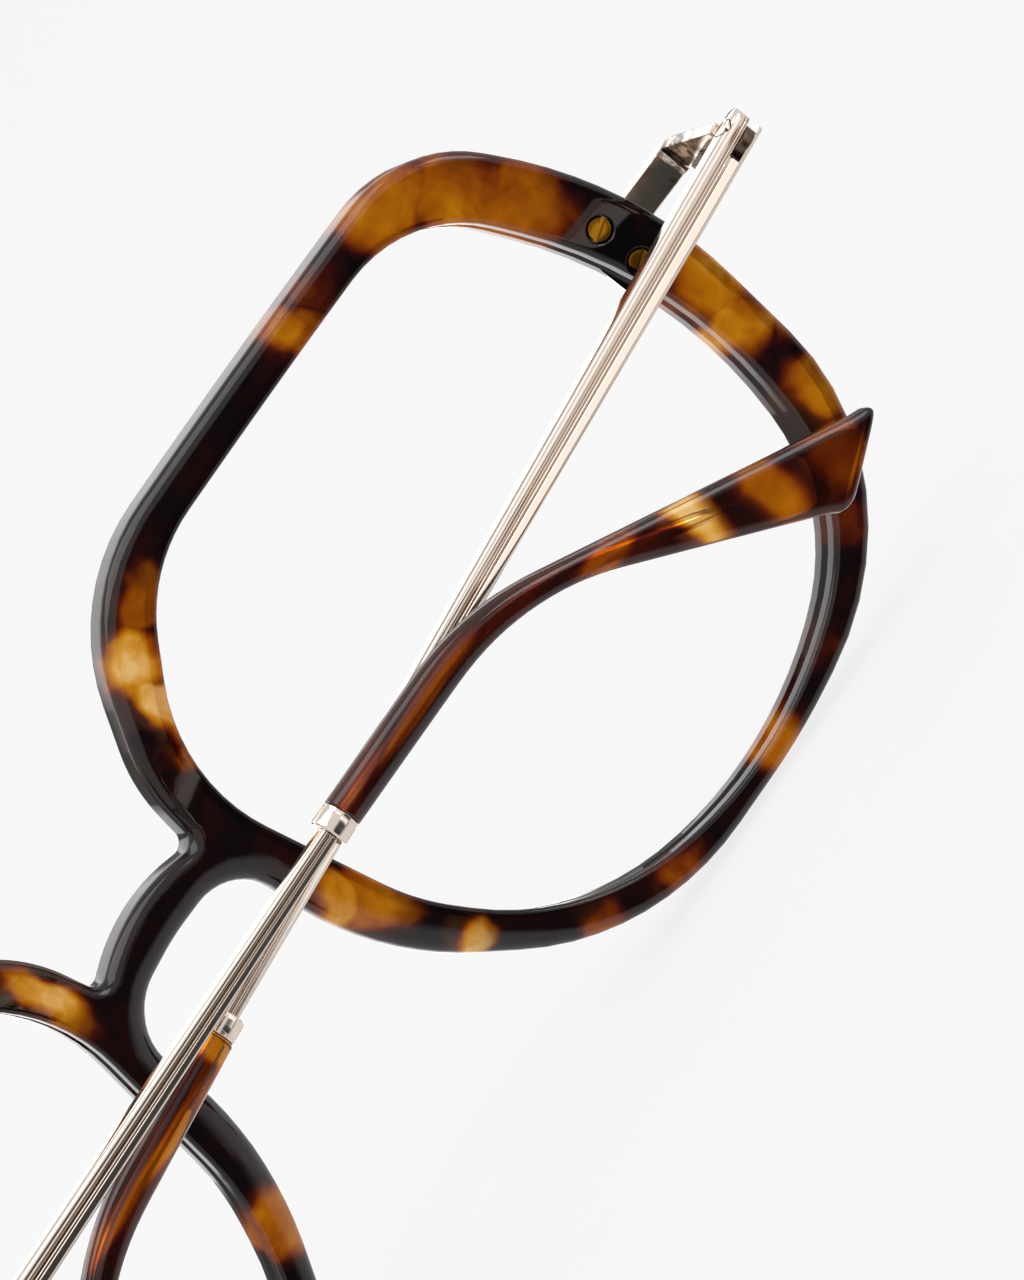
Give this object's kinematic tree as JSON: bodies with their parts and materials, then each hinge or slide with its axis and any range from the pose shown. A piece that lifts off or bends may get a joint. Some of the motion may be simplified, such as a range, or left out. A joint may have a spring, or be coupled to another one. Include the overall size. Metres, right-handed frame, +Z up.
{
  "type": "eyeglasses frame",
  "caption": "Folding eyeglasses frame with softly angular acetate rims, an arched nose bridge, slim fluted metal temples on fork hinges, and flared acetate ear tips; without lenses.",
  "frame": {"origin": "middle of the nose bridge, on the front face of the acetate front", "axes": "+Z up as worn, the front faces -Y and the wearer is on the +Y side, +X towards the wearer's left; the temples are folded behind the front at rest"},
  "size_m": [0.1552, 0.0341, 0.0581],
  "materials": {
    "acetate": "polished tortoiseshell acetate",
    "tip_acetate": "polished tortoiseshell acetate",
    "plated_metal": "mirror polished, pale champagne plating",
    "brass_screw": "turned brass"
  },
  "bodies": {
    "front": {"front": "acetate", "right_endpiece": "plated_metal", "left_endpiece": "plated_metal", "right_hinge_leaf": "plated_metal", "left_hinge_leaf": "plated_metal", "right_rim_screws": "brass_screw", "left_rim_screws": "brass_screw"},
    "right_temple": {"right_temple_bar": "plated_metal", "right_hinge_screw": "brass_screw", "right_ferrule": "plated_metal", "right_temple_tip": "tip_acetate"},
    "left_temple": {"left_temple_bar": "plated_metal", "left_hinge_screw": "brass_screw", "left_ferrule": "plated_metal", "left_temple_tip": "tip_acetate"}
  },
  "joints": [
    {"name": "right_temple_hinge", "type": "hinge", "parent": "front", "child": "right_temple", "pos_m": [-0.0756, 0.02469, 0.0002], "axis": [0.0332, 0, 0.9995], "range_deg": [0, 91]},
    {"name": "left_temple_hinge", "type": "hinge", "parent": "front", "child": "left_temple", "pos_m": [0.0756, 0.02469, 0.0002], "axis": [0.007, 0, -1], "range_deg": [0, 88]}
  ]
}
